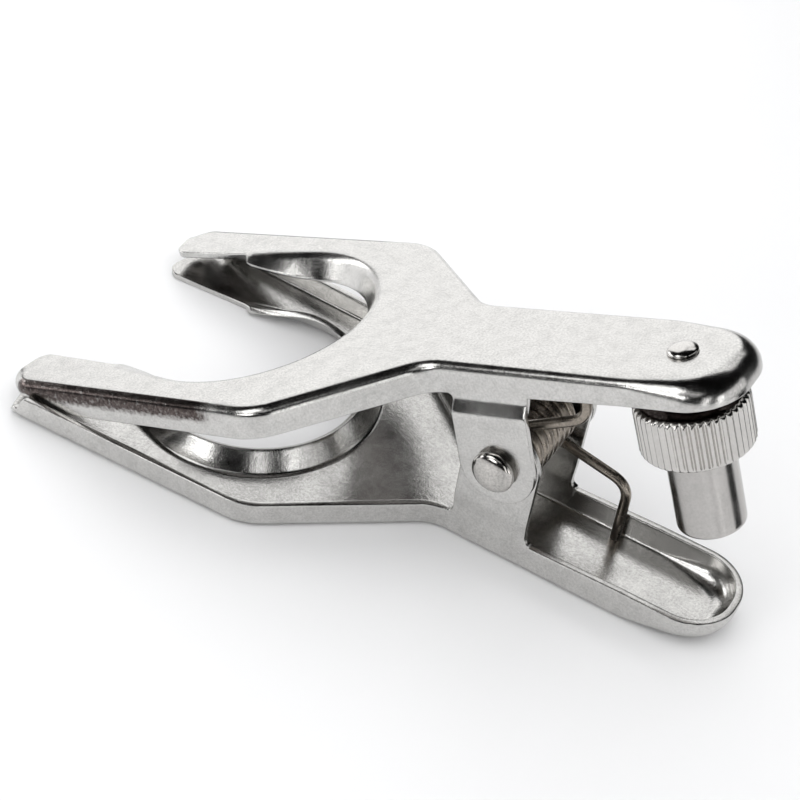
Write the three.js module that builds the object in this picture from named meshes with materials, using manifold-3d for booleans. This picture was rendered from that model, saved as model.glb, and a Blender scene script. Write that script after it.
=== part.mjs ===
// Pinch clamp for spherical ground glass joints: two pressed steel levers crossing on a riveted
// pin, a torsion spring that holds the jaws shut, and a knurled nut on a stud that locks them.
// Millimetres. The origin is on the underside of the lower lever, directly below the pivot pin:
// +X runs towards the handle ends, +Y across the clamp, +Z up from the flat lower lever.
import * as THREE from "three";
import { mergeVertices } from "three/addons/utils/BufferGeometryUtils.js";
import Module from "manifold-3d";

const wasm = await Module();
wasm.setup();

// ---------------------------------------------------------------- driving dimensions
const SHEET = 1.0; // thickness of both levers
const JAW_ANGLE = THREE.MathUtils.degToRad(22.6); // between the levers with the tips closed
const BEND = 1.4; // outer radius of the flange bend
const TIP_CORNER = 2.0; // plan radius of a finger tip's inner corner
const SHOULDER_CORNER = 9; // plan radius where the finger turns into the slant
const WAIST_CORNER = 6; // plan radius where the slant meets the handle
const END_CORNER = 6.8; // plan radius of the handle end's corners
const END_RUN = 14; // the bend opens out over this length of the handle end

const OPENING_R = 18.85; // radius at which the flat ends and the lip's bend begins
const MOUTH_DEPTH = 14.5; // where the gap starts to widen
const LIP_BEND = 2.0; // outer radius of the lip's bend
const LIP_ANGLE = THREE.MathUtils.degToRad(57); // the lips lean in, as the seat of a ball
const LIP_RUN = 14; // the lip grows to its full depth over this length of edge
const LIP_START = 0.25; // its share of that growth at the mouth's corner
const CORNER_RISE = 1.5; // the flange reaches its full height over this length behind the tip
const TAPER = [2.5, 14.5]; // the flange height changes between these distances past the slant

const EAR_HALF = 5.4; // half width of an ear and the radius of its end
const EAR_ROOT = 1.0; // fillet between an ear and the flange edge

// Each lever is described from its own outer face, flanges upwards, x from close to the tip.
const UPPER = {
  tipX: 0.4,
  tipSlant: -1.2, // how much further back the tip's outer corner is
  endX: 101.5,
  tipCorner: 3.6, // plan radius of a finger tip's outer corner
  endBend: 3.0, // outer radius of the flange bend round the handle end
  openingX: 27.2, // centre of the round opening
  mouthTip: 15.3, // half the gap between the fingers at their tips
  mouthHalf: 16.0, // and where it starts to widen
  lipWall: 3.0, // straight length of the lip after its bend
  forkHalfTip: 23.4,
  forkHalf: 23.4,
  handleHalf: 7.95,
  slantStart: 42.9,
  slantEnd: 60.5,
  forkFlange: 4.35,
  handleFlange: 3.5,
  tipFlange: 2.2,
  pivotX: 68.45,
  pivotHeight: 14.35,
  earFace: 9.1, // half distance over the outside of the ears
  earLean: 0.8, // how much further back the ear's root is than the pin
  joggle: [4.4, 6.9], // heights between which the ear steps outwards
};
const LOWER = {
  tipX: -1.0,
  tipSlant: 2.6,
  endX: 101.5,
  tipCorner: 1.8,
  endBend: 4.0,
  openingX: 26.0,
  mouthTip: 14.1,
  mouthHalf: 14.9,
  lipWall: 3.3,
  forkHalfTip: 25.0,
  forkHalf: 23.5,
  handleHalf: 7.35,
  slantStart: 40.0,
  slantEnd: 60.2,
  forkFlange: 4.15,
  handleFlange: 4.9,
  tipFlange: 1.9,
  pivotX: 68.45,
  pivotHeight: 16.96,
  earFace: 7.8,
  earLean: -0.25,
  joggle: [5.2, 9.0],
};

const PIN_R = 1.6;
const PIN_HOLE_R = 1.68;
const RIVET_HEAD_R = 2.95;
const RIVET_HEAD_HEIGHT = 1.5;
const RIVET_PLAY = 0.5; // between a rivet head and the ear beside it

const WIRE_R = 0.725;
const COIL_R = 3.75; // to the wire's centre line
const COIL_TURNS = 7.5;
const COIL_PITCH = 1.5;
const FOOT_Y = 5.2; // the legs lean in a little so that their feet clear the flanges
const LEG_BEND_R = 2.6;
const UPPER_LEG = { reach: 12.85, rise: 12.3 }; // mm to the foot, degrees from the lever
const LOWER_LEG = { reach: 13.5, rise: 9.8 };
const FOOT_GAP = 0.3; // between a spring foot and the sheet it presses on

const STUD_X = 92.8; // stud axis from the upper lever's tip
const STUD_R = 2.5;
const STUD_LENGTH = 22; // below the upper lever's outer face
const STUD_COLLAR_R = 3.6;
const STUD_SPIGOT_R = 1.4;
const STUD_HOLE_R = 1.55;
const STUD_HEAD_R = 1.95;
const STUD_HEAD_HEIGHT = 0.9;

const NUT_TOP = 5.1; // below the upper lever's outer face, nut run fully back
const NUT_SHOULDER = 12.87;
const NUT_END = 24.8;
const KNURL_R = 7.28;
const KNURL_DEPTH = 0.38;
const KNURL_COUNT = 44;
const KNURL_CHAMFER = 1.0; // height of the bevel on the knurled head's top edge
const BARREL_R = 4.45;
const NECK_R = 3.7; // the barrel's stem inside the knurled head
const NUT_BORE_R = 2.6;
const FIT_GAP = 0.1;

const ROUND_STEPS = 28;
const STEEL = { color: 0xc9c8c4, roughness: 0.3, metalness: 1 };

// ---------------------------------------------------------------- helpers
function solid(geometry) {
  const bare = geometry.index ? geometry.toNonIndexed() : geometry.clone();
  bare.deleteAttribute("normal");
  bare.deleteAttribute("uv");
  const merged = mergeVertices(bare, 1e-4);
  return new wasm.Manifold(
    new wasm.Mesh({
      numProp: 3,
      vertProperties: new Float32Array(merged.attributes.position.array),
      triVerts: new Uint32Array(merged.index.array),
    }),
  );
}

function geometryOf(manifold) {
  const mesh = manifold.getMesh();
  const geometry = new THREE.BufferGeometry();
  geometry.setAttribute("position", new THREE.BufferAttribute(mesh.vertProperties, 3));
  geometry.setIndex(new THREE.BufferAttribute(mesh.triVerts, 1));
  geometry.computeVertexNormals();
  return geometry;
}

// A solid of revolution about Z from [radius, z] pairs that start and end on the axis.
function turned(profile, steps = ROUND_STEPS) {
  return new THREE.LatheGeometry(
    profile.map(([radius, z]) => new THREE.Vector2(radius, z)),
    steps,
  ).rotateX(Math.PI / 2);
}

function ring(outer, inner, low, high, steps = ROUND_STEPS) {
  const profile = [[inner, low], [outer, low], [outer, high], [inner, high], [inner, low]];
  return turned(profile, steps);
}

function rod(radius, low, high, steps = ROUND_STEPS) {
  return turned([[0, low], [radius, low], [radius, high], [0, high]], steps);
}

const smooth = (value) => THREE.MathUtils.smoothstep(value, 0, 1);
const mix = THREE.MathUtils.lerp;

// ---------------------------------------------------------------- lever outline
// The flat part of a lever ends BEND inside its edge. The outline is the run of stations along
// that line, clockwise seen from above the flanges, each with its outward direction.
function station(x, y, angle, kind, t = 0) {
  return { x, y, out: [Math.cos(angle), Math.sin(angle)], kind, t, radius: BEND };
}

function arcStations(cx, cy, radius, from, to, steps, kind) {
  return Array.from({ length: steps + 1 }, (_, i) => {
    const t = i / steps;
    const angle = mix(from, to, t);
    const outward = radius < 0 ? angle + Math.PI : angle;
    const r = Math.abs(radius);
    return station(cx + r * Math.cos(angle), cy + r * Math.sin(angle), outward, kind, t);
  });
}

// Rounds the corner at b of the line a-b-c, material to the right of the way from a to c.
function corner(a, b, c, radius, steps, kind) {
  const inDir = new THREE.Vector2().subVectors(b, a).normalize();
  const outDir = new THREE.Vector2().subVectors(c, b).normalize();
  const turn = Math.atan2(inDir.cross(outDir), inDir.dot(outDir));
  const convex = turn < 0;
  const r = convex ? radius - BEND : radius + BEND;
  const reach = r * Math.tan(Math.abs(turn) / 2);
  const side = convex ? 1 : -1;
  const centre = new THREE.Vector2(
    b.x - inDir.x * reach + inDir.y * r * side,
    b.y - inDir.y * reach - inDir.x * r * side,
  );
  const first = Math.atan2(inDir.x, -inDir.y) + (convex ? 0 : Math.PI);
  return arcStations(centre.x, centre.y, r * side, first, first + turn, steps, kind);
}

// Moves each edge of an open polyline to its right by distance and joins them again.
function inset(points, distance) {
  const edges = points.slice(1).map((b, i) => {
    const dir = new THREE.Vector2().subVectors(b, points[i]).normalize();
    const shift = new THREE.Vector2(dir.y, -dir.x).multiplyScalar(distance);
    return { start: points[i].clone().add(shift), end: b.clone().add(shift), dir };
  });
  const inner = edges.slice(1).map((edge, i) => {
    const before = edges[i];
    const gap = new THREE.Vector2().subVectors(edge.start, before.start);
    const along = gap.cross(edge.dir) / before.dir.cross(edge.dir);
    return before.start.clone().addScaledVector(before.dir, along);
  });
  return [edges[0].start, ...inner, edges[edges.length - 1].end];
}

// From the middle of the round opening to the mouth: an arc, then its tangent to the mouth's
// corner. t is the distance left to the corner, as a part of LIP_RUN.
function lipStations(spec, steps) {
  const mouth = spec.mouthHalf + BEND;
  const toCorner = Math.hypot(mouth, MOUTH_DEPTH - spec.openingX);
  const straight = Math.sqrt(toCorner ** 2 - OPENING_R ** 2);
  const lean = Math.atan2(straight, OPENING_R);
  const sweep = Math.atan2(mouth, MOUTH_DEPTH - spec.openingX) - lean;
  const arc = arcStations(spec.openingX, 0, -OPENING_R, 0, sweep, steps, "lip");
  const line = Array.from({ length: 7 }, (_, i) => {
    const along = (straight * (i + 1)) / 7;
    const x = spec.openingX + OPENING_R * Math.cos(sweep) - along * Math.sin(sweep);
    const y = OPENING_R * Math.sin(sweep) + along * Math.cos(sweep);
    return station(x, y, sweep + Math.PI, "lip", 0);
  });
  arc.forEach((s, i) => {
    s.t = (straight + OPENING_R * sweep * (1 - i / steps)) / LIP_RUN;
  });
  line.forEach((s, i) => {
    s.t = (straight * (6 - i)) / 7 / LIP_RUN;
  });
  return [...arc, ...line];
}

// The bend opens out towards the handle end, so the flat there ends further in.
function openBend(spec, stations) {
  for (const s of stations) {
    const opened = smooth((s.x - spec.endX + END_RUN) / (END_RUN - 4));
    s.radius = mix(BEND, spec.endBend, opened);
    s.x -= s.out[0] * (s.radius - BEND);
    s.y -= s.out[1] * (s.radius - BEND);
  }
  return stations;
}

function halfOutline(spec, fineness) {
  const n = (count) => Math.max(2, Math.round(count * fineness));
  const nominal = [
    [MOUTH_DEPTH, spec.mouthHalf],
    [spec.tipX, spec.mouthTip],
    [spec.tipX + spec.tipSlant, spec.forkHalfTip],
    [spec.slantStart, spec.forkHalf],
    [spec.slantEnd, spec.handleHalf],
    [spec.endX, spec.handleHalf],
    [spec.endX, 0],
  ].map(([x, y]) => new THREE.Vector2(x, y));
  const p = inset(nominal, BEND);
  const tip = corner(p[1], p[2], p[3], spec.tipCorner, n(6), "tip");
  const tipRun = [0.25, 0.5, 0.75, 1].map((t) => {
    const x = tip[tip.length - 1].x + t * CORNER_RISE;
    const y = mix(p[2].y, p[3].y, (x - p[2].x) / (p[3].x - p[2].x));
    return station(x, y, Math.PI / 2, "rise", t);
  });
  const endRun = [14, 12, 10, 8].map((back) => (
    station(spec.endX - back, p[5].y, Math.PI / 2, "flange")
  ));
  return [
    ...lipStations(spec, n(18)),
    station(MOUTH_DEPTH - 0.6, p[0].y, Math.PI * 1.5, "cut"),
    ...corner(p[0], p[1], p[2], TIP_CORNER, n(3), "cut"),
    ...tip,
    ...tipRun,
    ...corner(p[2], p[3], p[4], SHOULDER_CORNER, n(4), "flange"),
    ...corner(p[3], p[4], p[5], WAIST_CORNER, n(4), "flange"),
    ...openBend(spec, [...endRun, ...corner(p[4], p[5], p[6], END_CORNER, n(7), "flange")]),
  ];
}

function outline(spec, fineness) {
  const half = halfOutline(spec, fineness);
  const other = half
    .slice(1)
    .reverse()
    .map((s) => ({ ...s, y: -s.y, out: [s.out[0], -s.out[1]] }));
  return [...half, ...other];
}

// ---------------------------------------------------------------- lever section
// What the sheet does outside the flat: bend length, bend angle and straight wall after it.
function section(spec, s) {
  const flangeBend = (s.radius * Math.PI) / 2;
  const cut = { bend: BEND - 0.2, angle: 0, wall: 0.2 };
  if (s.kind === "cut") return cut;
  if (s.kind === "lip") {
    const grown = Math.sin((mix(LIP_START, 1, Math.min(s.t, 1)) * Math.PI) / 2);
    return {
      bend: mix(cut.bend, LIP_BEND * LIP_ANGLE, grown),
      angle: LIP_ANGLE * grown,
      wall: mix(cut.wall, spec.lipWall, grown),
    };
  }
  if (s.kind === "tip") {
    return {
      bend: mix(cut.bend, flangeBend, smooth(s.t / 0.7)),
      angle: (Math.PI / 2) * smooth(s.t / 0.7),
      wall: mix(cut.wall, spec.tipFlange - BEND, smooth((s.t - 0.3) / 0.7)),
    };
  }
  const tapered = smooth((s.x - spec.slantEnd - TAPER[0]) / (TAPER[1] - TAPER[0]));
  const full = mix(spec.forkFlange, spec.handleFlange, tapered);
  const rise = s.kind === "rise" ? Math.sin((s.t * Math.PI) / 2) : 1;
  return {
    bend: flangeBend,
    angle: Math.PI / 2,
    wall: mix(spec.tipFlange, full, rise) - s.radius,
  };
}

// The section's outer face as [outwards, up] pairs, then its inner face back again.
function sectionPoints({ bend, angle, wall }, bendSteps) {
  const turnRate = angle / bend;
  const face = [];
  for (let i = 0; i <= bendSteps; i += 1) {
    const length = (bend * i) / bendSteps;
    const phi = turnRate * length;
    const outwards = angle > 1e-6 ? Math.sin(phi) / turnRate : length;
    const up = angle > 1e-6 ? (1 - Math.cos(phi)) / turnRate : 0;
    face.push([outwards, up, phi]);
  }
  const [lastOut, lastUp] = face[bendSteps];
  face.push([lastOut + wall * Math.cos(angle), lastUp + wall * Math.sin(angle), angle]);
  const back = face
    .map(([o, u, phi]) => [o - SHEET * Math.sin(phi), u + SHEET * Math.cos(phi)])
    .reverse();
  return [...face.map(([o, u]) => [o, u]), ...back];
}

// The pressed sheet: every station's section joined to the next, and a flat face on each side.
function pressing(spec, fineness, bendSteps) {
  const stations = outline(spec, fineness);
  const sections = stations.map((s) => sectionPoints(section(spec, s), bendSteps));
  const rows = sections[0].length;
  const count = stations.length;
  const positions = [];
  stations.forEach((s, i) => {
    for (const [outwards, up] of sections[i]) {
      positions.push(s.x + s.out[0] * outwards - spec.pivotX, s.y + s.out[1] * outwards, up);
    }
  });
  const index = [];
  for (let i = 0; i < count; i += 1) {
    const next = (i + 1) % count;
    for (let k = 0; k < rows - 1; k += 1) {
      const a = i * rows + k;
      const b = next * rows + k;
      index.push(a, a + 1, b, b, a + 1, b + 1);
    }
  }
  const flat = stations.map((s) => new THREE.Vector2(s.x, s.y)).reverse();
  for (const [a, b, c] of THREE.ShapeUtils.triangulateShape(flat, [])) {
    const [i, j, k] = [a, b, c].map((v) => count - 1 - v);
    index.push(i * rows, k * rows, j * rows);
    index.push((i + 1) * rows - 1, (j + 1) * rows - 1, (k + 1) * rows - 1);
  }
  const geometry = new THREE.BufferGeometry();
  geometry.setAttribute("position", new THREE.Float32BufferAttribute(positions, 3));
  geometry.setIndex(index);
  return geometry;
}

// ---------------------------------------------------------------- ears
// One ear: its stepped cross-section run along X, cut to the ear's outline and bored for the pin.
// Below the pin the outline leans, so that its root stands earLean further along the lever.
function ear(spec) {
  const rims = [spec.forkFlange, spec.handleFlange];
  const foot = Math.min(...rims) - 1.2;
  const top = spec.pivotHeight + EAR_HALF + 1;
  const [low, high] = spec.joggle;
  const inFace = spec.handleHalf;
  const outFace = spec.earFace;
  const step = new THREE.Shape([
    new THREE.Vector2(inFace - SHEET, foot),
    new THREE.Vector2(inFace, foot),
    new THREE.Vector2(inFace, low),
    new THREE.Vector2(outFace, high),
    new THREE.Vector2(outFace, top),
    new THREE.Vector2(outFace - SHEET, top),
    new THREE.Vector2(outFace - SHEET, high),
    new THREE.Vector2(inFace - SHEET, low),
  ]);
  const reach = EAR_HALF + EAR_ROOT;
  const span = 2 * (reach + 1);
  const run = new THREE.ExtrudeGeometry(step, { depth: span, bevelEnabled: false });
  run.applyMatrix4(new THREE.Matrix4().makeBasis(
    new THREE.Vector3(0, 1, 0), new THREE.Vector3(0, 0, 1), new THREE.Vector3(1, 0, 0)));
  run.translate(-span / 2, 0, 0);

  const side = new THREE.Shape();
  side.moveTo(-reach, foot - 1);
  side.lineTo(reach, foot - 1);
  side.lineTo(reach, rims[1]);
  side.absarc(reach, rims[1] + EAR_ROOT, EAR_ROOT, -Math.PI / 2, -Math.PI, true);
  side.absarc(0, spec.pivotHeight, EAR_HALF, 0, Math.PI, false);
  side.absarc(-reach, rims[0] + EAR_ROOT, EAR_ROOT, 0, -Math.PI / 2, true);
  const depth = outFace + 1;
  const plate = new THREE.ExtrudeGeometry(side, { depth, bevelEnabled: false, curveSegments: 8 });
  plate.rotateX(Math.PI / 2);
  plate.translate(0, depth, 0);
  const slope = spec.earLean / (spec.pivotHeight - spec.handleFlange);
  const corners = plate.attributes.position;
  for (let i = 0; i < corners.count; i += 1) {
    const below = Math.max(spec.pivotHeight - corners.getZ(i), 0);
    corners.setX(i, corners.getX(i) + slope * below);
  }
  const hole = rod(PIN_HOLE_R, 0, depth + 1).rotateX(-Math.PI / 2);
  hole.translate(0, 0, spec.pivotHeight);
  return solid(run).intersect(solid(plate)).subtract(solid(hole));
}

function lever(spec) {
  const one = ear(spec);
  const other = one.mirror([0, 1, 0]);
  return solid(pressing(spec, 1, 3)).add(one).add(other);
}

// ---------------------------------------------------------------- pieces
function lowerLever() {
  return geometryOf(lever(LOWER));
}

// Turned over so that its outer face is on top, with the hole that the stud is riveted into.
function upperLever() {
  const hole = solid(rod(STUD_HOLE_R, -1, SHEET + 1).translate(STUD_X - UPPER.pivotX, 0, 0));
  const geometry = geometryOf(lever(UPPER).subtract(hole));
  return geometry.rotateX(Math.PI).translate(0, 0, UPPER.pivotHeight);
}

function domedHead(radius, height, base) {
  const steps = 5;
  return Array.from({ length: steps + 1 }, (_, i) => {
    const angle = (i / steps) * (Math.PI / 2);
    return [radius * Math.cos(angle), base + height * (0.25 + 0.75 * Math.sin(angle))];
  });
}

function pivotRivet() {
  const face = UPPER.earFace + RIVET_PLAY;
  const top = [[RIVET_HEAD_R, face], ...domedHead(RIVET_HEAD_R, RIVET_HEAD_HEIGHT, face)];
  const bottom = top.map(([r, z]) => [r, -z]).reverse();
  const profile = [...bottom, [PIN_R, -face], [PIN_R, face], ...top];
  profile[0][0] = 0;
  profile[profile.length - 1][0] = 0;
  return turned(profile).rotateX(Math.PI / 2);
}

// The wire's centre line, about the pivot: upper foot, upper leg, coil, lower leg, lower foot.
class SpringPath extends THREE.CurvePath {
  constructor() {
    super();
    const half = (COIL_TURNS * COIL_PITCH) / 2;
    const upper = springLeg(UPPER_LEG, UPPER.pivotHeight - SHEET - FOOT_GAP, JAW_ANGLE, -half, 1);
    const lower = springLeg(LOWER_LEG, LOWER.pivotHeight - SHEET - FOOT_GAP, 0, half, -1);
    this.add(new THREE.LineCurve3(upper.foot, upper.bendOut));
    this.add(new THREE.QuadraticBezierCurve3(upper.bendOut, upper.knee, upper.bendIn));
    this.add(new THREE.LineCurve3(upper.bendIn, upper.tangent));
    this.add(new Helix(upper.angle, lower.angle, half));
    this.add(new THREE.LineCurve3(lower.tangent, lower.bendIn));
    this.add(new THREE.QuadraticBezierCurve3(lower.bendIn, lower.knee, lower.bendOut));
    this.add(new THREE.LineCurve3(lower.bendOut, lower.foot));
  }
}

// A leg leaves the coil on a tangent, runs out beside its lever and turns to stand on the sheet.
// side is 1 above the pivot and -1 below it; tilt turns the leg with its lever.
function springLeg({ reach, rise }, height, tilt, y, side) {
  const slope = THREE.MathUtils.degToRad(rise);
  const alongX = Math.cos(slope);
  const alongZ = side * Math.sin(slope);
  const lean = (Math.sign(y) * FOOT_Y - y) / reach;
  const place = (x, z) => new THREE.Vector3(
    x * Math.cos(tilt) - z * Math.sin(tilt),
    y + lean * Math.max(x, 0),
    x * Math.sin(tilt) + z * Math.cos(tilt),
  );
  const tangentX = -COIL_R * Math.sin(slope);
  const tangentZ = side * COIL_R * Math.cos(slope);
  const run = (reach - tangentX) / alongX;
  const kneeZ = tangentZ + run * alongZ;
  const cutBack = run - LEG_BEND_R;
  return {
    tangent: place(tangentX, tangentZ),
    bendIn: place(tangentX + cutBack * alongX, tangentZ + cutBack * alongZ),
    knee: place(reach, kneeZ),
    bendOut: place(reach, kneeZ + side * LEG_BEND_R),
    foot: place(reach, side * height),
    angle: Math.atan2(tangentZ, tangentX) + tilt,
  };
}

class Helix extends THREE.Curve {
  constructor(from, to, half) {
    super();
    const sweep = to - from;
    const wanted = COIL_TURNS * 2 * Math.PI;
    this.from = from;
    this.sweep = sweep + 2 * Math.PI * Math.round((wanted - sweep) / (2 * Math.PI));
    this.half = half;
  }
  getPoint(t, target = new THREE.Vector3()) {
    const angle = this.from + this.sweep * t;
    const y = mix(-this.half, this.half, t);
    return target.set(COIL_R * Math.cos(angle), y, COIL_R * Math.sin(angle));
  }
}

function torsionSpring() {
  const sides = 8;
  const wire = new THREE.Shape(Array.from({ length: sides }, (_, i) => {
    const angle = (2 * Math.PI * (i + 0.5)) / sides;
    return new THREE.Vector2(WIRE_R * Math.cos(angle), WIRE_R * Math.sin(angle));
  }));
  return new THREE.ExtrudeGeometry(wire, { steps: 170, extrudePath: new SpringPath() });
}

// The stud, nut head and barrel are turned about the stud axis, z down from the outer face.
function onStud(geometry) {
  const x = STUD_X - UPPER.pivotX;
  return geometry.rotateX(Math.PI).translate(x, 0, UPPER.pivotHeight);
}

function lockStud() {
  const head = domedHead(STUD_HEAD_R, STUD_HEAD_HEIGHT, FIT_GAP);
  const crown = head.map(([r, z]) => [r, -z]).reverse();
  crown[0][0] = 0;
  return onStud(turned([
    ...crown,
    [STUD_HEAD_R, -FIT_GAP],
    [STUD_SPIGOT_R, -FIT_GAP],
    [STUD_SPIGOT_R, SHEET + FIT_GAP],
    [STUD_COLLAR_R, SHEET + FIT_GAP],
    [STUD_COLLAR_R, NUT_TOP - 0.3],
    [STUD_R, NUT_TOP - 0.3],
    [STUD_R, STUD_LENGTH - 0.5],
    [STUD_R - 0.5, STUD_LENGTH],
    [0, STUD_LENGTH],
  ]));
}

function knurledHead() {
  const points = KNURL_COUNT * 2;
  const shape = new THREE.Shape(Array.from({ length: points }, (_, i) => {
    const angle = (2 * Math.PI * i) / points;
    const r = i % 2 ? KNURL_R - KNURL_DEPTH : KNURL_R;
    return new THREE.Vector2(r * Math.cos(angle), r * Math.sin(angle));
  }));
  const height = NUT_SHOULDER - NUT_TOP;
  const body = new THREE.ExtrudeGeometry(shape, { depth: height, bevelEnabled: false });
  const bevelled = turned([
    [0, -1],
    [KNURL_R - KNURL_CHAMFER - 1, -1],
    [KNURL_R + 0.1, KNURL_CHAMFER + 0.1],
    [KNURL_R + 0.1, height - 0.4],
    [KNURL_R - 0.7, height + 0.4],
    [0, height + 0.4],
  ], 2 * ROUND_STEPS);
  const bore = rod(NECK_R + FIT_GAP, -1, height + 1);
  const cut = geometryOf(solid(body).intersect(solid(bevelled)).subtract(solid(bore)));
  return onStud(cut.translate(0, 0, NUT_TOP));
}

function nutBarrel() {
  const edge = 0.5;
  const blind = STUD_LENGTH + 1;
  return onStud(turned([
    [0, blind],
    [NUT_BORE_R, blind],
    [NUT_BORE_R, NUT_TOP],
    [NECK_R, NUT_TOP],
    [NECK_R, NUT_SHOULDER + FIT_GAP],
    [BARREL_R, NUT_SHOULDER + FIT_GAP],
    [BARREL_R, NUT_END - edge],
    [BARREL_R - 0.3 * edge, NUT_END - 0.3 * edge],
    [BARREL_R - edge, NUT_END],
    [0, NUT_END],
  ]));
}

// ---------------------------------------------------------------- assembly
function piece(name, geometry, look) {
  const mesh = new THREE.Mesh(geometry, new THREE.MeshStandardMaterial(look));
  mesh.name = name;
  return mesh;
}

const clamp = new THREE.Group();
clamp.add(piece("lower_lever", lowerLever(), STEEL));

const pivot = new THREE.Group();
pivot.position.z = LOWER.pivotHeight;
clamp.add(pivot);
pivot.add(piece("pivot_rivet", pivotRivet(), { ...STEEL, roughness: 0.2 }));
pivot.add(piece("torsion_spring", torsionSpring(), { ...STEEL, color: 0x8a8378, roughness: 0.35 }));

const upper = new THREE.Group();
upper.rotation.y = -JAW_ANGLE;
pivot.add(upper);
upper.add(piece("upper_lever", upperLever(), STEEL));
upper.add(piece("lock_stud", lockStud(), STEEL));
upper.add(piece("nut_head", knurledHead(), { ...STEEL, roughness: 0.25 }));
upper.add(piece("nut_barrel", nutBarrel(), { ...STEEL, roughness: 0.25 }));

export default clamp;
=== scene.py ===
import math

import bpy
from mathutils import Matrix, Vector


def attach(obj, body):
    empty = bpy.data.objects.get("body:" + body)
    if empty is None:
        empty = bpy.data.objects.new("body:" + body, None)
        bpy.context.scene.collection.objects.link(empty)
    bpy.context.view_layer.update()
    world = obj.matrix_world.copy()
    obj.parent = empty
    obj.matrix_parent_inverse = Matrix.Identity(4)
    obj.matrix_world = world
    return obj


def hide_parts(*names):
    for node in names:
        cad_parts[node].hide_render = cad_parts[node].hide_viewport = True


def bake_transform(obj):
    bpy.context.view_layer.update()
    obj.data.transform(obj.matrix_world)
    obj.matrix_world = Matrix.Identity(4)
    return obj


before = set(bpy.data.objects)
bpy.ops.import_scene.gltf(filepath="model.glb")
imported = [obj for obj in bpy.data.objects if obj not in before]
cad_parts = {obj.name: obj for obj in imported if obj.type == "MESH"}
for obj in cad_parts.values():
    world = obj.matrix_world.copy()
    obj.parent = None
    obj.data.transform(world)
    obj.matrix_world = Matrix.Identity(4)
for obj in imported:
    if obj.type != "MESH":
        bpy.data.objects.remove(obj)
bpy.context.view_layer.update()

# ------------------------------------------------------------------ dimensions, millimetres
MM = 0.001
SHEET = 1.0
JAW_ANGLE = math.radians(22.6)
BEND = 1.4
EDGE = 0.16  # rounding of the sheet's cut edges
SUPPORT = 0.3  # width of the flat ring beside a bend, which keeps the flat's shading level
TIP_CORNER = 2.0
SHOULDER_CORNER = 9
WAIST_CORNER = 6
END_CORNER = 6.8
END_RUN = 14  # length before the handle's end that has its own points
END_OPENING = 10  # length over which the bend opens to end_bend
OPENING_R = 18.85
MOUTH_DEPTH = 14.5
LIP_BEND = 2.0
LIP_ANGLE = math.radians(57)
LIP_RUN = 14
LIP_START = 0.25  # share of the sine's quarter wave at which the lip begins
CORNER_RISE = 1.5  # length over which the tip's low flange grows to full height
TAPER = (2.5, 14.5)  # from and to where, behind the slant's end, the flange changes height
EAR_HALF = 5.4
EAR_ROOT = 1.0
EAR_FOOT = 1.2  # how far the ear's plate runs down inside the flange
EAR_LIFT = (-0.008, 0.003)  # how far it stands proud of the flange's face, at the foot and above

# The last entry of each table scales the painted shade on the lever's underside and outer finger
# bends: the upper lever carries it, the lower lever none.
UPPER = dict(
    tip_x=0.4, tip_slant=-1.2, end_x=101.5, tip_corner=3.6, end_bend=3.0, opening_x=27.2,
    mouth_tip=15.3, mouth=16.0, lip_wall=3.0, fork_tip=23.4, fork=23.4, handle=7.95,
    slant_start=42.9, slant_end=60.5, fork_flange=4.35, handle_flange=3.5, tip_flange=2.2,
    pivot_x=68.45, pivot_height=14.35, ear_face=9.1, ear_lean=0.8, joggle=(4.4, 6.9), painted_shade=1.0)
LOWER = dict(
    tip_x=-1.0, tip_slant=2.6, end_x=101.5, tip_corner=1.8, end_bend=4.0, opening_x=26.0,
    mouth_tip=14.1, mouth=14.9, lip_wall=3.3, fork_tip=25.0, fork=23.5, handle=7.35,
    slant_start=40.0, slant_end=60.2, fork_flange=4.15, handle_flange=4.9, tip_flange=1.9,
    pivot_x=68.45, pivot_height=16.96, ear_face=7.8, ear_lean=-0.25, joggle=(5.2, 9.0), painted_shade=0.0)

PIN_R = 1.6
RIVET_HEAD_R = 2.95
RIVET_HEAD_HEIGHT = 1.5
RIVET_PLAY = 0.5
WIRE_R = 0.725
COIL_R = 3.75
COIL_TURNS = 7.5
COIL_PITCH = 1.5
FOOT_Y = 5.2
LEG_BEND_R = 2.6
LEG_BEND_STEPS = 14
COIL_STEPS = 420
FOOT_GAP = 0.02
UPPER_LEG = (12.85, 12.3)
LOWER_LEG = (13.5, 9.8)
STUD_X = 92.8
STUD_R = 2.5
STUD_LENGTH = 22
THREAD_PITCH = 0.8
THREAD_DEPTH = 0.3
STUD_COLLAR_R = 3.6
STUD_HEAD_R = 1.95
STUD_HEAD_HEIGHT = 0.9
STUD_NECK_R = 1.5
STUD_NECK_GAP = 0.02
AXIS_R = 1e-4  # closes a turned profile at its axis
NUT_TOP = 5.1
KNURL_TOP = 6.16
NUT_SHOULDER = 12.87
NUT_END = 24.8
KNURL_R = 7.28
KNURL_DEPTH = 0.38
KNURL_COUNT = 44
KNURL_STEPS = 14  # mesh steps to one ridge
BARREL_R = 4.45


# ------------------------------------------------------------------ small helpers
def mix(a, b, t):
    return a + (b - a) * t


def smooth(t):
    t = min(max(t, 0.0), 1.0)
    return t * t * (3 - 2 * t)


def ramp(t, soft=0.3):
    """0 to 1 with a straight middle and a rounded start and end."""
    t = min(max(t, 0.0), 1.0)
    if t < soft:
        return t * t / (2 * soft * (1 - soft))
    if t > 1 - soft:
        return 1 - (1 - t) ** 2 / (2 * soft * (1 - soft))
    return (t - soft / 2) / (1 - soft)


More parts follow.
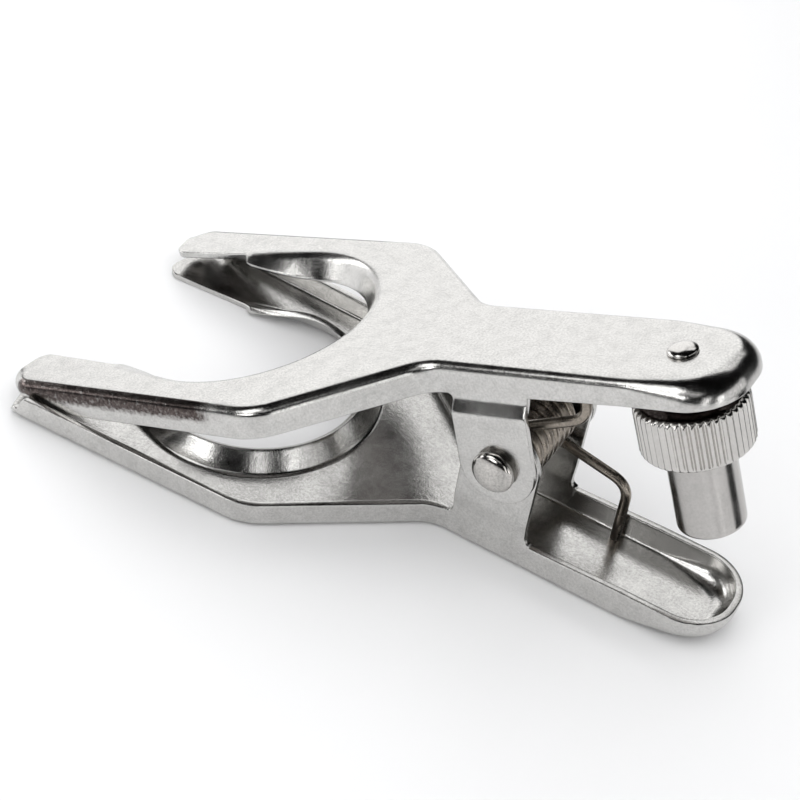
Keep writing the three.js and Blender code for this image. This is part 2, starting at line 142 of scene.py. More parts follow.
def mesh_object(name, points, faces, matrix, painted_shade=()):
    """points in millimetres, placed by matrix (metres); the last argument is each point's share of
    painted shade.
    """
    mesh = bpy.data.meshes.new(name)
    mesh.from_pydata([Vector(p) * MM for p in points], [], faces)
    mesh.update()
    for polygon in mesh.polygons:
        polygon.use_smooth = len(polygon.vertices) < 5
    # this attribute drives the painted shade in the material
    if painted_shade:
        mesh.attributes.new("painted_shade", "FLOAT", "POINT").data.foreach_set("value", painted_shade)
    obj = bpy.data.objects.new(name, mesh)
    bpy.context.scene.collection.objects.link(obj)
    obj.matrix_world = matrix
    return obj


def rings_to_faces(count, rows):
    """Quads between neighbouring stations, each a run of rows points; the stations form a loop."""
    faces = []
    for i in range(count):
        j = (i + 1) % count
        for k in range(rows - 1):
            faces.append((i * rows + k, i * rows + k + 1, j * rows + k + 1, j * rows + k))
    return faces


# ------------------------------------------------------------------ lever outline
LIP_ARC_STEPS = 90
LIP_LINE_STEPS = 22


class Station:
    def __init__(self, x, y, angle, kind, t=0.0):
        self.x, self.y = x, y
        self.out = (math.cos(angle), math.sin(angle))
        self.kind, self.t, self.radius = kind, t, BEND


def arc_stations(cx, cy, radius, start, end, steps, kind):
    made = []
    for i in range(steps + 1):
        t = i / steps
        angle = mix(start, end, t)
        outward = angle + math.pi if radius < 0 else angle
        r = abs(radius)
        made.append(Station(cx + r * math.cos(angle), cy + r * math.sin(angle), outward, kind, t))
    return made


def corner(a, b, c, radius, steps, kind):
    in_dir = (b - a).normalized()
    out_dir = (c - b).normalized()
    turn = math.atan2(in_dir.x * out_dir.y - in_dir.y * out_dir.x, in_dir.dot(out_dir))
    convex = turn < 0
    r = radius - BEND if convex else radius + BEND
    reach = r * math.tan(abs(turn) / 2)
    side = 1 if convex else -1
    cx = b.x - in_dir.x * reach + in_dir.y * r * side
    cy = b.y - in_dir.y * reach - in_dir.x * r * side
    first = math.atan2(in_dir.x, -in_dir.y) + (0 if convex else math.pi)
    return arc_stations(cx, cy, r * side, first, first + turn, steps, kind)


def inset(points, distance):
    edges = []
    for a, b in zip(points, points[1:]):
        direction = (b - a).normalized()
        shift = Vector((direction.y, -direction.x)) * distance
        edges.append((a + shift, b + shift, direction))
    made = [edges[0][0]]
    for before, after in zip(edges, edges[1:]):
        gap = after[0] - before[0]
        bottom = before[2].x * after[2].y - before[2].y * after[2].x
        along = (gap.x * after[2].y - gap.y * after[2].x) / bottom
        made.append(before[0] + before[2] * along)
    made.append(edges[-1][1])
    return made


def lip_stations(spec):
    mouth = spec["mouth"] + BEND
    to_corner = math.hypot(mouth, MOUTH_DEPTH - spec["opening_x"])
    straight = math.sqrt(to_corner ** 2 - OPENING_R ** 2)
    lean = math.atan2(straight, OPENING_R)
    sweep = math.atan2(mouth, MOUTH_DEPTH - spec["opening_x"]) - lean
    arc = arc_stations(spec["opening_x"], 0, -OPENING_R, 0, sweep, LIP_ARC_STEPS, "lip")
    for i, s in enumerate(arc):
        s.t = (straight + OPENING_R * sweep * (1 - i / LIP_ARC_STEPS)) / LIP_RUN
    line = []
    for i in range(1, LIP_LINE_STEPS + 1):
        along = straight * i / LIP_LINE_STEPS
        x = spec["opening_x"] + OPENING_R * math.cos(sweep) - along * math.sin(sweep)
        y = OPENING_R * math.sin(sweep) + along * math.cos(sweep)
        line.append(Station(x, y, sweep + math.pi, "lip", (straight - along) / LIP_RUN))
    return arc + line


def open_bend(spec, stations):
    for s in stations:
        opened = smooth((s.x - spec["end_x"] + END_RUN) / END_OPENING)
        s.radius = mix(BEND, spec["end_bend"], opened)
        s.x -= s.out[0] * (s.radius - BEND)
        s.y -= s.out[1] * (s.radius - BEND)
    return stations


def half_outline(spec):
    nominal = [Vector(p) for p in (
        (MOUTH_DEPTH, spec["mouth"]),
        (spec["tip_x"], spec["mouth_tip"]),
        (spec["tip_x"] + spec["tip_slant"], spec["fork_tip"]),
        (spec["slant_start"], spec["fork"]),
        (spec["slant_end"], spec["handle"]),
        (spec["end_x"], spec["handle"]),
        (spec["end_x"], 0))]
    p = inset(nominal, BEND)
    tip = corner(p[1], p[2], p[3], spec["tip_corner"], 26, "tip")
    tip_run = []
    for i in range(1, 13):
        x = tip[-1].x + CORNER_RISE * i / 12
        y = mix(p[2].y, p[3].y, (x - p[2].x) / (p[3].x - p[2].x))
        tip_run.append(Station(x, y, math.pi / 2, "rise", i / 12))
    shoulder = corner(p[2], p[3], p[4], SHOULDER_CORNER, 18, "flange")
    finger_run = []
    for i in range(1, 20):
        x = mix(tip_run[-1].x, shoulder[0].x, i / 20)
        y = mix(tip_run[-1].y, shoulder[0].y, i / 20)
        finger_run.append(Station(x, y, math.pi / 2, "flange"))
    end_run = [Station(spec["end_x"] - END_RUN + i * 0.5, p[5].y, math.pi / 2, "flange")
               for i in range(13)]
    return (
        lip_stations(spec)
        + [Station(MOUTH_DEPTH - 0.5, p[0].y, math.pi * 1.5, "cut")]
        + corner(p[0], p[1], p[2], TIP_CORNER, 12, "cut")
        + tip
        + tip_run
        + finger_run
        + shoulder
        + corner(p[3], p[4], p[5], WAIST_CORNER, 14, "flange")
        + open_bend(spec, end_run + corner(p[4], p[5], p[6], END_CORNER, 30, "flange")))


def outline(spec):
    half = half_outline(spec)
    other = []
    for s in reversed(half[1:]):
        twin = Station(s.x, -s.y, 0, s.kind, s.t)
        twin.out, twin.radius = (s.out[0], -s.out[1]), s.radius
        other.append(twin)
    return half + other


# ------------------------------------------------------------------ lever section
BEND_STEPS = 10
EDGE_STEPS = 3
WALL_SHARES = (0.12, 0.88)  # where the straight wall has points, as shares of its length
FACE_ROWS = 1 + BEND_STEPS + 1 + len(WALL_SHARES)  # points on one face of a section
SHADED_ROWS = range(2, BEND_STEPS + 3)  # the outer bend and the start of the wall, which carry the painted shade
UNDERSIDE_SHADE = 0.8  # painted shade on the sheet's inner face, the upper lever's underside
BEND_SHADE_END = 9  # where the painted shade on the bend begins to fade, before the slant's start
BEND_SHADE_FADE = 6
CUT_WALL = 0.2  # the wall's share, mm, of an unbent rim that is BEND wide


def section(spec, s):
    """Bend length, bend angle and straight wall outside the flat at one station."""
    flange_bend = s.radius * math.pi / 2
    cut = (BEND - CUT_WALL, 0.0, CUT_WALL)
    if s.kind == "cut":
        return cut
    if s.kind == "lip":
        grown = math.sin(mix(LIP_START, 1, min(s.t, 1)) * math.pi / 2)
        return (mix(cut[0], LIP_BEND * LIP_ANGLE, grown), LIP_ANGLE * grown,
                mix(cut[2], spec["lip_wall"], grown))
    if s.kind == "tip":
        return (mix(cut[0], flange_bend, smooth(s.t / 0.7)), math.pi / 2 * smooth(s.t / 0.7),
                mix(cut[2], spec["tip_flange"] - BEND, smooth((s.t - 0.3) / 0.7)))
    tapered = smooth((s.x - spec["slant_end"] - TAPER[0]) / (TAPER[1] - TAPER[0]))
    full = mix(spec["fork_flange"], spec["handle_flange"], tapered)
    rise = math.sin(s.t * math.pi / 2) if s.kind == "rise" else 1
    return flange_bend, math.pi / 2, mix(spec["tip_flange"], full, rise) - s.radius


def section_points(bend, angle, wall):
    """Round the sheet from its flat's support ring to the cut edge and back, as [outwards, up]."""
    rate = angle / bend
    face = [(-SUPPORT, 0.0, 0.0)]
    for i in range(BEND_STEPS + 1):
        length = bend * i / BEND_STEPS
        phi = rate * length
        if angle > 1e-6:
            face.append((math.sin(phi) / rate, (1 - math.cos(phi)) / rate, phi))
        else:
            face.append((length, 0.0, 0.0))
    last_out, last_up, _ = face[-1]
    along = Vector((math.cos(angle), math.sin(angle)))
    inward = Vector((-math.sin(angle), math.cos(angle)))
    start = Vector((last_out, last_up))
    straight = max(wall - EDGE, 0.01)
    for share in WALL_SHARES:
        point = start + along * straight * share
        face.append((point.x, point.y, angle))
    end = start + along * straight
    edge = []
    for i in range(EDGE_STEPS + 1):
        a = math.pi / 2 * i / EDGE_STEPS
        edge.append(end + inward * EDGE + EDGE * (-inward * math.cos(a) + along * math.sin(a)))
    for i in range(EDGE_STEPS + 1):
        a = math.pi / 2 * i / EDGE_STEPS
        edge.append(end + inward * (SHEET - EDGE)
                    + EDGE * (along * math.cos(a) + inward * math.sin(a)))
    back = [(o - SHEET * math.sin(phi), u + SHEET * math.cos(phi)) for o, u, phi in reversed(face)]
    return [(o, u) for o, u, _ in face] + [(e.x, e.y) for e in edge] + back


def finger_share(spec, s):
    """1 along a finger's outer bend, fading to 0 at the shoulder: the share of the bend's painted
    shade.
    """
    if s.kind in ("lip", "cut"):
        return 0.0
    if s.kind == "tip":
        return smooth((s.t - 0.4) / 0.4)
    return 1 - smooth((s.x - spec["slant_start"] + BEND_SHADE_END) / BEND_SHADE_FADE)


def pressing(spec):
    """The sheet's points, faces and each point's share of painted shade."""
    stations = outline(spec)
    sections = [section_points(*section(spec, s)) for s in stations]
    rows = len(sections[0])
    points, painted_shade = [], []
    for s, run in zip(stations, sections):
        # painted shade: the outer finger bends and the whole inner face, which on the upper lever
        # faces down, are darkened
        bend_shade = spec["painted_shade"] * finger_share(spec, s)
        inner_shade = spec["painted_shade"] * UNDERSIDE_SHADE
        for k, (outwards, up) in enumerate(run):
            points.append((s.x + s.out[0] * outwards - spec["pivot_x"],
                           s.y + s.out[1] * outwards, up))
            inside = k >= rows - FACE_ROWS
            painted_shade.append(inner_shade if inside else bend_shade if k in SHADED_ROWS else 0.0)
    count = len(stations)
    faces = rings_to_faces(count, rows)
    faces.append(tuple(i * rows for i in range(count)))
    faces.append(tuple(i * rows + rows - 1 for i in reversed(range(count))))
    return points, faces, painted_shade


# ------------------------------------------------------------------ ears
def ear(spec, side):
    """One ear as a stepped plate with rounded edges, its foot buried in the flange."""
    top, root = spec["pivot_height"], EAR_ROOT
    foot = min(spec["fork_flange"], spec["handle_flange"]) - EAR_FOOT
    low, high = spec["joggle"]
    slope = spec["ear_lean"] / (top - spec["handle_flange"])

    def face_y(z):
        return mix(spec["handle"], spec["ear_face"], ramp((z - low) / (high - low)))

    def lift(z):
        return mix(*EAR_LIFT, smooth(2 * (z - foot) / EAR_FOOT))

    def half_edge(rim):
        """Right half of the outline, bottom to top: x, z, outward direction."""
        edge = [(EAR_HALF + root, mix(foot, rim - EAR_FOOT / 2, i / 4), 1.0, 0.0)
                for i in range(5)]
        for i in range(1, 9):
            a = -math.pi / 2 - math.pi / 2 * i / 9
            edge.append((EAR_HALF + root + root * math.cos(a), rim + root + root * math.sin(a),
                         -math.cos(a), -math.sin(a)))
        z = rim + root
        while z < top - 0.2:
            edge.append((EAR_HALF, z, 1.0, 0.0))
            z += 0.2 if low - 0.4 < z < high + 0.4 else 0.6
        for i in range(28):
            a = math.pi / 2 * i / 28
            edge.append((EAR_HALF * math.cos(a), top + EAR_HALF * math.sin(a),
                         math.cos(a), math.sin(a)))
        return edge

    left = [(-x, z, -ox, oz) for x, z, ox, oz in reversed(half_edge(spec["fork_flange"]))]
    loop = half_edge(spec["handle_flange"]) + [(0.0, top + EAR_HALF, 0.0, 1.0)] + left

    points, faces = [], []
    for x, z, ox, oz in loop:
        mid_z = min(z, top)
        run = []
        for share in (0.0, 0.5):
            run.append((mix(0, x - ox * 0.5, share), mix(mid_z, z - oz * 0.5, share), 0.0))
        run.append((x - ox * 0.5, z - oz * 0.5, 0.0))
        for i in range(4):
            a = math.pi / 2 * i / 3
            back_off = EDGE * (1 - math.sin(a))
            run.append((x - ox * back_off, z - oz * back_off, EDGE * (1 - math.cos(a))))
        leant = [(px + slope * max(top - pz, 0), pz, depth) for px, pz, depth in run]
        for px, pz, depth in leant:
            points.append((px, side * (face_y(pz) + lift(pz) - depth), pz))
        for px, pz, depth in reversed(leant):
            points.append((px, side * (face_y(pz) - lift(pz) - SHEET + depth), pz))
    count = len(loop)
    rows = len(points) // count
    for i in range(count - 1):
        for k in range(rows - 1):
            quad = (i * rows + k, i * rows + k + 1, (i + 1) * rows + k + 1, (i + 1) * rows + k)
            faces.append(quad if side < 0 else quad[::-1])
    bottom = [*range(rows), *((count - 1) * rows + k for k in reversed(range(rows)))]
    faces.append(tuple(bottom[::-1] if side < 0 else bottom))
    return points, faces


def lever(name, spec, matrix):
    points, faces, painted_shade = pressing(spec)
    for side in (-1, 1):
        more, cells = ear(spec, side)
        base = len(points)
        points += more
        painted_shade += [0.0] * len(more)
        faces += [tuple(base + i for i in cell) for cell in cells]
    return mesh_object(name, points, faces, matrix, painted_shade)


# ------------------------------------------------------------------ turned pieces
DOME_STEPS = 14


def turned(profile, steps=96, radius_at=None):
    """A solid about Z from [radius, z] pairs; radius_at may change the radius with the angle."""
    points, faces = [], []
    rows = len(profile)
    for i in range(steps):
        a = 2 * math.pi * i / steps
        for r, z in profile:
            rr = radius_at(a, r) if radius_at else r
            points.append((rr * math.cos(a), rr * math.sin(a), z))
    for i in range(steps):
        j = (i + 1) % steps
        for k in range(rows - 1):
            faces.append((i * rows + k, j * rows + k, j * rows + k + 1, i * rows + k + 1))
    return points, faces


def rounded(profile, radius, steps):
    """Rounds every corner of a [radius, z] profile, ends excepted, and holds the flats level."""
    made = [profile[0]]
    for a, b, c in zip(profile, profile[1:], profile[2:]):
        va, vb, vc = Vector(a), Vector(b), Vector(c)
        into, out = (va - vb), (vc - vb)
        reach = min(radius, into.length * 0.45, out.length * 0.45)
        start, end = vb + into.normalized() * reach, vb + out.normalized() * reach
        made.append(tuple(vb + into.normalized() * min(reach * 1.3, into.length * 0.49)))
        for i in range(steps + 1):
            t = i / steps
            p = start * (1 - t) ** 2 + vb * 2 * t * (1 - t) + end * t ** 2
            made.append((p.x, p.y))
        made.append(tuple(vb + out.normalized() * min(reach * 1.3, out.length * 0.49)))
    made.append(profile[-1])
    return made


def dome(radius, height, base):
    """A rivet head's [radius, z] profile: the lowest quarter of its height is a straight rim."""
    angles = [math.pi / 2 * i / DOME_STEPS for i in range(DOME_STEPS + 1)]
    return [(radius * math.cos(a), base + height * (0.25 + 0.75 * math.sin(a))) for a in angles]


# ------------------------------------------------------------------ spring
def leg(reach, rise, height, tilt, y, side):
    slope = math.radians(rise)
    along_x, along_z = math.cos(slope), side * math.sin(slope)
    lean = (math.copysign(FOOT_Y, y) - y) / reach

    def place(x, z):
        return Vector((x * math.cos(tilt) - z * math.sin(tilt), y + lean * max(x, 0),
                       x * math.sin(tilt) + z * math.cos(tilt)))

    tangent_x, tangent_z = -COIL_R * math.sin(slope), side * COIL_R * math.cos(slope)
    run = (reach - tangent_x) / along_x
    knee_z = tangent_z + run * along_z
    cut = run - LEG_BEND_R
    return dict(
        tangent=place(tangent_x, tangent_z),
        bend_in=place(tangent_x + cut * along_x, tangent_z + cut * along_z),
        knee=place(reach, knee_z),
        bend_out=place(reach, knee_z + side * LEG_BEND_R),
        foot=place(reach, side * height),
        angle=math.atan2(tangent_z, tangent_x) + tilt)


def bezier(a, b, c, steps):
    return [a * (1 - t) ** 2 + b * 2 * t * (1 - t) + c * t ** 2
            for t in (i / steps for i in range(1, steps + 1))]


def spring_path():
    half = COIL_TURNS * COIL_PITCH / 2
    upper = leg(*UPPER_LEG, UPPER["pivot_height"] - SHEET - FOOT_GAP, JAW_ANGLE, -half, 1)
    lower = leg(*LOWER_LEG, LOWER["pivot_height"] - SHEET - FOOT_GAP, 0.0, half, -1)
    path = [upper["foot"], upper["foot"].lerp(upper["bend_out"], 0.5), upper["bend_out"]]
    path += bezier(upper["bend_out"], upper["knee"], upper["bend_in"], LEG_BEND_STEPS)
    path += [upper["bend_in"].lerp(upper["tangent"], s) for s in (0.33, 0.66, 1.0)]
    sweep = lower["angle"] - upper["angle"]
    wanted = COIL_TURNS * 2 * math.pi
    sweep += 2 * math.pi * round((wanted - sweep) / (2 * math.pi))
    for i in range(1, COIL_STEPS + 1):
        t = i / COIL_STEPS
        a = upper["angle"] + sweep * t
        path.append(Vector((COIL_R * math.cos(a), mix(-half, half, t), COIL_R * math.sin(a))))
    path += [lower["tangent"].lerp(lower["bend_in"], s) for s in (0.33, 0.66, 1.0)]
    path += bezier(lower["bend_in"], lower["knee"], lower["bend_out"], LEG_BEND_STEPS)
    path += [lower["bend_out"].lerp(lower["foot"], s) for s in (0.5, 1.0)]
    return path


def wire(path, radius, sides=20):
    points, faces = [], []
    frame_x = None
    for i, p in enumerate(path):
        ahead = path[min(i + 1, len(path) - 1)] - path[max(i - 1, 0)]
        t = ahead.normalized()
        if frame_x is None:
            frame_x = t.orthogonal().normalized()
        frame_x = (frame_x - t * frame_x.dot(t)).normalized()
        frame_y = t.cross(frame_x)
        for k in range(sides):
            a = 2 * math.pi * k / sides
            points.append(tuple(p + (frame_x * math.cos(a) + frame_y * math.sin(a)) * radius))
    for i in range(len(path) - 1):
        for k in range(sides):
            m = (k + 1) % sides
            faces.append((i * sides + k, i * sides + m, (i + 1) * sides + m, (i + 1) * sides + k))
    faces.append(tuple(reversed(range(sides))))
    last = (len(path) - 1) * sides
    faces.append(tuple(last + k for k in range(sides)))
    return points, faces


# ------------------------------------------------------------------ materials
class Nodes:
    def __init__(self, name):
        self.material = bpy.data.materials.new(name)
        self.material.use_nodes = True
        self.tree = self.material.node_tree
        self.shader = self.tree.nodes["Principled BSDF"]
        self.coords = self.tree.nodes.new("ShaderNodeTexCoord").outputs["Object"]

    def add(self, kind, **inputs):
        node = self.tree.nodes.new(kind)
        for key, value in inputs.items():
            self.put(node.inputs[key.replace("_", " ")], value)
        return node

    def put(self, socket, value):
        if isinstance(value, bpy.types.NodeSocket):
            self.tree.links.new(value, socket)
        else:
            socket.default_value = value

    def scaled(self, scale):
        node = self.add("ShaderNodeMapping", Vector=self.coords)
        node.inputs["Scale"].default_value = scale
        return node.outputs["Vector"]

    def noise(self, scale, detail=3.0, vector=None, rough=0.55):
        node = self.add("ShaderNodeTexNoise", Vector=vector or self.coords, Scale=scale,
                        Detail=detail, Roughness=rough)
        return node.outputs["Fac"]

    def spread(self, value, low, high, to_low, to_high):
        node = self.add("ShaderNodeMapRange", Value=value)
        node.inputs["From Min"].default_value = low
        node.inputs["From Max"].default_value = high
        node.inputs["To Min"].default_value = to_low
        node.inputs["To Max"].default_value = to_high
        return node.outputs["Result"]

    def times(self, a, b):
        node = self.add("ShaderNodeMath")
        node.operation = "MULTIPLY"
        self.put(node.inputs[0], a)
        self.put(node.inputs[1], b)
        return node.outputs[0]

    def mixed(self, share, low, high, how="MIX"):
        """A colour between low and high, which are sockets or RGBA values."""
        node = self.add("ShaderNodeMix")
        node.data_type = "RGBA"
        node.blend_type = how
        self.put(node.inputs["Factor"], share)
        self.put(node.inputs[6], low)  # the node's A and B sockets of type colour
        self.put(node.inputs[7], high)
        return node.outputs[2]

    def bump(self, height, strength, distance, normal=None):
        node = self.add("ShaderNodeBump", Height=height, Strength=strength, Distance=distance)
        if normal is not None:
            self.put(node.inputs["Normal"], normal)
        return node.outputs["Normal"]


# colours of the painted shade, speckled between dark and lighter brown
PAINTED_SHADE_DARK = (0.045, 0.036, 0.034, 1)
PAINTED_SHADE_LIGHT = (0.15, 0.125, 0.118, 1)


def paint_shade(n, unshaded_colour):
    """The given colour where the point attribute is 0, and a speckled dark brown painted shade
    where it is 1.
    """
    shade_attribute = n.tree.nodes.new("ShaderNodeAttribute")
    shade_attribute.attribute_name = "painted_shade"
    ragged_shade = n.times(shade_attribute.outputs["Fac"], n.spread(n.noise(1800, 3), 0.3, 0.7, 0.8, 1.2))
    share = n.spread(ragged_shade, 0.55, 0.95, 0.0, 1.0)
    specks = n.spread(n.noise(2600, 3, rough=0.7), 0.38, 0.66, 0.0, 1.0)
    return n.mixed(share, unshaded_colour, n.mixed(specks, PAINTED_SHADE_DARK, PAINTED_SHADE_LIGHT))


def metal(name, colour, rough, grain=0.0, wave=0.0, mottle=0.0):
    """Polished or satin metal: grain is fine pitting, wave slow unevenness, mottle dull specks."""
    n = Nodes(name)
    n.put(n.shader.inputs["Metallic"], 1.0)
    cloudy = n.noise(260, 4)
    n.put(n.shader.inputs["Roughness"], n.spread(cloudy, 0.3, 0.7, rough * 0.75, rough * 1.3))
    specks = n.spread(n.noise(3300, 4, rough=0.7), 0.36, 0.6, 1 - mottle, 1.0)
    clouds = n.spread(n.noise(420, 5, rough=0.75), 0.36, 0.56, 1 - 0.6 * mottle, 1.0)
    unshaded_colour = n.mixed(1.0, (*colour, 1), n.times(specks, clouds), "MULTIPLY")
    n.put(n.shader.inputs["Base Color"], paint_shade(n, unshaded_colour))
    normal = n.bump(n.noise(95, 2), 1.0, wave * MM)
    normal = n.bump(n.noise(4600, 3), 1.0, grain * MM, normal)
    return n, normal


def plain_metal(*args, **finish):
    n, normal = metal(*args, **finish)
    n.put(n.shader.inputs["Normal"], normal)
    return n.material


def lathed_metal(*args, **finish):
    """Turned metal, whose fine grooves run round the piece's own Z axis."""
    n, normal = metal(*args, **finish)
    n.put(n.shader.inputs["Normal"], normal)
    round_z = n.tree.nodes.new("ShaderNodeTangent")
    round_z.direction_type = "RADIAL"
    round_z.axis = "Z"
    n.put(n.shader.inputs["Tangent"], round_z.outputs["Tangent"])
    n.shader.inputs["Anisotropic"].default_value = 0.4
    return n.material


def drawn_metal(*args, **finish):
    """Pressed sheet: the walls that the die drew carry fine lines square to their rims."""
    n, normal = metal(*args, **finish)
    drawn = n.noise(1500, 3, n.scaled((1.0, 1.0, 0.05)))
    normal = n.bump(drawn, 1.0, 0.016 * MM, normal)
    n.put(n.shader.inputs["Normal"], normal)
    return n.material


STEEL = (0.64, 0.632, 0.615)
BARREL_STEEL = (0.52, 0.505, 0.49)
RIVET_STEEL = (0.62, 0.6, 0.575)
TURNED_STEEL = (0.62, 0.605, 0.585)
WIRE_STEEL = (0.36, 0.32, 0.275)
pressed = drawn_metal("pressed_steel", STEEL, 0.2, grain=0.013, wave=0.006, mottle=0.2)
bright = plain_metal("bright_turned_steel", TURNED_STEEL, 0.17,
                     grain=0.004, wave=0.002, mottle=0.08)
barrel_steel = lathed_metal("lathed_steel", BARREL_STEEL, 0.19,
                            grain=0.004, wave=0.002, mottle=0.12)
rivet_steel = plain_metal("rivet_steel", RIVET_STEEL, 0.15, grain=0.006, wave=0.006, mottle=0.3)
wire_steel = plain_metal("spring_wire", WIRE_STEEL, 0.27, grain=0.008, wave=0.004, mottle=0.3)


# ------------------------------------------------------------------ place the pieces
pivot = Matrix.Translation((0, 0, LOWER["pivot_height"] * MM))
tilt = pivot @ Matrix.Rotation(-JAW_ANGLE, 4, "Y")
upside_down = Matrix.Rotation(math.pi, 4, "X")
upper_frame = tilt @ (Matrix.Translation((0, 0, UPPER["pivot_height"] * MM)) @ upside_down)
stud_frame = upper_frame @ Matrix.Translation(((STUD_X - UPPER["pivot_x"]) * MM, 0, 0))


def finish_piece(obj, body, nodes, material):
    obj.data.materials.append(material)
    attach(obj, body)
    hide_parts(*nodes)


lower = lever("lower_pressing", LOWER, Matrix.Identity(4))
finish_piece(lower, "lower", ["lower_lever"], pressed)
upper = lever("upper_pressing", UPPER, upper_frame)
finish_piece(upper, "upper", ["upper_lever"], pressed)

face = UPPER["ear_face"] + RIVET_PLAY
crown = dome(RIVET_HEAD_R, RIVET_HEAD_HEIGHT, face)
profile = [(RIVET_HEAD_R - 0.1, face), (RIVET_HEAD_R, face + 0.1)] + crown
shaft = [(r, -z) for r, z in reversed(profile)] + [(PIN_R, -face), (PIN_R, face)] + profile
points, faces = turned([(max(r, AXIS_R), z) for r, z in shaft])
rivet = mesh_object("rivet", points, faces, pivot @ Matrix.Rotation(math.pi / 2, 4, "X"))
finish_piece(rivet, "lower", ["pivot_rivet"], rivet_steel)

points, faces = wire(spring_path(), WIRE_R)
spring = mesh_object("spring", points, faces, pivot)
spring.data.materials.append(wire_steel)
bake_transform(spring)
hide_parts("torsion_spring")

threads = []  # rings stand in for the helix
for i in range(int((STUD_LENGTH - NUT_TOP) / THREAD_PITCH)):
    threads.append((STUD_R - THREAD_DEPTH, NUT_TOP + i * THREAD_PITCH))
    threads.append((STUD_R, NUT_TOP + (i + 0.5) * THREAD_PITCH))
crown = [(r, -z) for r, z in reversed(dome(STUD_HEAD_R, STUD_HEAD_HEIGHT, STUD_NECK_GAP))]
profile = [(max(r, AXIS_R), z) for r, z in crown] + [
    (STUD_HEAD_R, -STUD_NECK_GAP / 2), (STUD_NECK_R, -STUD_NECK_GAP / 2),
    (STUD_NECK_R, SHEET + STUD_NECK_GAP), (STUD_COLLAR_R, SHEET + STUD_NECK_GAP),
    (STUD_COLLAR_R, NUT_TOP - 0.3), (STUD_R, NUT_TOP - 0.3), *threads,
    (STUD_R - THREAD_DEPTH, STUD_LENGTH), (AXIS_R, STUD_LENGTH)]
points, faces = turned(profile)
# painted shade on the collar, which stands in the shadow under the upper lever
shaded = [1.0 if p[2] > SHEET and math.hypot(p[0], p[1]) > STUD_R + 0.5 else 0.0 for p in points]
stud = mesh_object("stud", points, faces, stud_frame, shaded)
finish_piece(stud, "upper", ["lock_stud"], bright)


def knurl(a, r):
    if r < KNURL_R - KNURL_DEPTH - 1.6:
        return r
    wave = 0.5 + 0.5 * math.cos(a * KNURL_COUNT)
    ridge = KNURL_R - KNURL_DEPTH * (1 - wave) ** 1.4
    return min(r, ridge)


head_profile = [
    (2.8, NUT_TOP + 0.7), (6.2, NUT_TOP + 0.7), (6.5, NUT_TOP + 0.76),
    (KNURL_R - 0.45, KNURL_TOP - 0.06), (KNURL_R - 0.16, KNURL_TOP + 0.12),
    (KNURL_R - 0.03, KNURL_TOP + 0.36), (KNURL_R, KNURL_TOP + 0.7),
    (KNURL_R, NUT_SHOULDER - 0.7), (KNURL_R, NUT_SHOULDER - 0.4),
    (KNURL_R - 0.2, NUT_SHOULDER - 0.15), (KNURL_R - KNURL_DEPTH, NUT_SHOULDER - 0.04),
    (KNURL_R - 0.9, NUT_SHOULDER), (4.0, NUT_SHOULDER)]
points, faces = turned(head_profile, steps=KNURL_COUNT * KNURL_STEPS, radius_at=knurl)
# painted shade on the nut's top face and chamfer, which lie in the shadow under the upper lever
shaded = [1.0 if p[2] < KNURL_TOP - 0.1 else 0.0 for p in points]
head = mesh_object("knurled_head", points, faces, stud_frame, shaded)
finish_piece(head, "nut_head", ["nut_head"], bright)

barrel_profile = rounded([
    (BARREL_R, NUT_SHOULDER - 0.5), (BARREL_R, NUT_END), (AXIS_R, NUT_END)], 0.6, 8)
points, faces = turned(barrel_profile)
barrel = mesh_object("barrel", points, faces, stud_frame)
finish_piece(barrel, "nut_barrel", ["nut_barrel"], barrel_steel)

# ------------------------------------------------------------------ stage, light, camera
def card(name, centre, size, facing, material):
    half_x, half_y = size[0] / 2, size[1] / 2
    points = [(-half_x, -half_y, 0), (half_x, -half_y, 0),
              (half_x, half_y, 0), (-half_x, half_y, 0)]
    turn = Vector(facing).to_track_quat("Z", "Y").to_matrix().to_4x4()
    obj = mesh_object(name, points, [(0, 1, 2, 3)], Matrix.Translation(Vector(centre) * MM) @ turn)
    obj.data.materials.append(material)
    return obj


floor_look = Nodes("white_table")
floor_look.put(floor_look.shader.inputs["Base Color"], (0.93, 0.932, 0.94, 1))
floor_look.put(floor_look.shader.inputs["Roughness"], 0.4)
card("table", (0, 0, -0.02), (6000, 6000), (0, 0, 1), floor_look.material)


def towards(azimuth, elevation):
    """A direction: azimuth 0 is -Y, where the front of the clamp faces, and 90 is +X."""
    a, e = math.radians(azimuth), math.radians(elevation)
    return Vector((math.sin(a) * math.cos(e), -math.cos(a) * math.cos(e), math.sin(e)))


def panel(name, azimuth, elevation, half_wide, half_high, radiance, soft, away=700,
          seen_from=(0, 0, 20)):
    """A glowing card seen in that direction from a point; half sizes and soft edge in degrees."""
    facing = -towards(azimuth, elevation)
    wide, high = (math.tan(math.radians(v)) * away for v in (half_wide, half_high))
    fade = math.tan(math.radians(soft)) * away * MM
    glow = Nodes(name)
    split = glow.add("ShaderNodeSeparateXYZ", Vector=glow.coords)
    shares = []
    for axis, half in (("X", wide * MM), ("Y", high * MM)):
        size = glow.add("ShaderNodeMath")
        size.operation = "ABSOLUTE"
        glow.put(size.inputs[0], split.outputs[axis])
        shares.append(glow.spread(size.outputs[0], half, half - fade, 0.0, 1.0))
    shape = glow.times(shares[0], shares[1])
    emission = glow.add("ShaderNodeEmission", Strength=glow.times(shape, radiance))
    out = glow.tree.nodes["Material Output"]
    glow.tree.links.new(emission.outputs[0], out.inputs["Surface"])
    centre = Vector(seen_from) + towards(azimuth, elevation) * away
    obj = card(name, centre, (2 * wide, 2 * high), facing, glow.material)
    obj.visible_camera = False
    return obj


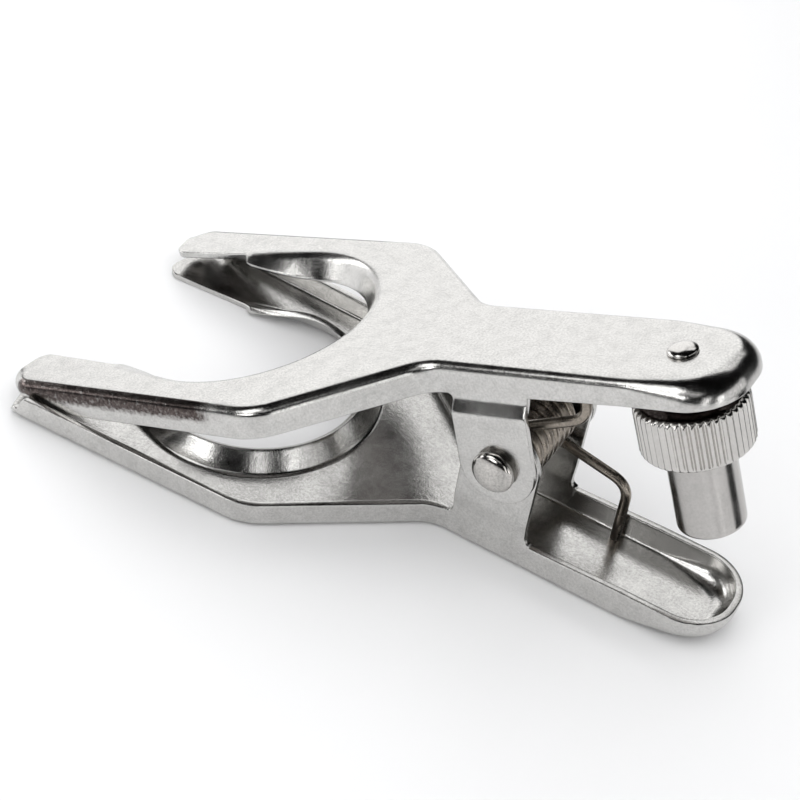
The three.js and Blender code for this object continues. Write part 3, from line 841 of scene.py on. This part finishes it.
HANDLE_TOP = (25, 0, 35)
panel("back_sweep", -140, 20, 27, 32, 1.42, 7)
panel("right_sweep", 100, 16, 32, 20, 0.9, 9)
panel("front_left_box", -42, 36, 15, 13, 2.4, 3, away=330, seen_from=HANDLE_TOP)
panel("front_right_box", 38, 12, 6, 16, 2.0, 2)
panel("back_high", -166, 47, 17, 11, 1.3, 4)
panel("front_low", -18, 20, 13, 6, 4.5, 2)
panel("left_low", -84, 8, 26, 8, 3.5, 3)
panel("front_high", -4, 42, 20, 9, 0.7, 6)
panel("right_strip", 66, 10, 4, 14, 4.0, 2)
flag = panel("dark_flag", 112, -2, 13, 17, 0.02, 0.5, away=62, seen_from=(25, 0, 21))
flag.visible_diffuse = False
flag.visible_shadow = False

top_light = bpy.data.lights.new("overhead", "AREA")
top_light.size = 2.2
top_light.energy = 23.0
overhead = bpy.data.objects.new("overhead", top_light)
bpy.context.scene.collection.objects.link(overhead)
overhead.location = (0, 0, 1.0)
overhead.visible_glossy = False

world = bpy.data.worlds.new("studio")
world.use_nodes = True
sky = world.node_tree
direction = sky.nodes.new("ShaderNodeTexCoord")
height = sky.nodes.new("ShaderNodeSeparateXYZ")
sky.links.new(direction.outputs["Generated"], height.inputs[0])
level_of = sky.nodes.new("ShaderNodeMapRange")
sky.links.new(height.outputs["Z"], level_of.inputs["Value"])
level_of.inputs["From Min"].default_value = 0.0
level_of.inputs["From Max"].default_value = 0.6
level_of.inputs["To Min"].default_value = 0.16
level_of.inputs["To Max"].default_value = 0.03
sky.links.new(level_of.outputs["Result"], sky.nodes["Background"].inputs["Strength"])
bpy.context.scene.world = world

CAMERA_AT = (60.29, -164.86, 172.31)
CAMERA_AZIMUTH = 25.734
CAMERA_ELEVATION = 41.285
CAMERA_ROLL = 8.357
az, roll = math.radians(CAMERA_AZIMUTH), math.radians(CAMERA_ROLL)
back = towards(CAMERA_AZIMUTH, CAMERA_ELEVATION)
level = Vector((math.cos(az), math.sin(az), 0))
above = back.cross(level)
right = level * math.cos(roll) + above * math.sin(roll)
up = back.cross(right)
camera = bpy.data.objects.new("camera", bpy.data.cameras.new("camera"))
bpy.context.scene.collection.objects.link(camera)
camera.data.lens = 80.47
camera.data.sensor_width = 36
camera.data.clip_start = 0.005
camera.data.clip_end = 20
camera.matrix_world = Matrix((
    (right.x, up.x, back.x, CAMERA_AT[0] * MM),
    (right.y, up.y, back.y, CAMERA_AT[1] * MM),
    (right.z, up.z, back.z, CAMERA_AT[2] * MM),
    (0, 0, 0, 1)))
bpy.context.scene.camera = camera
bpy.context.scene.view_settings.view_transform = "Standard"
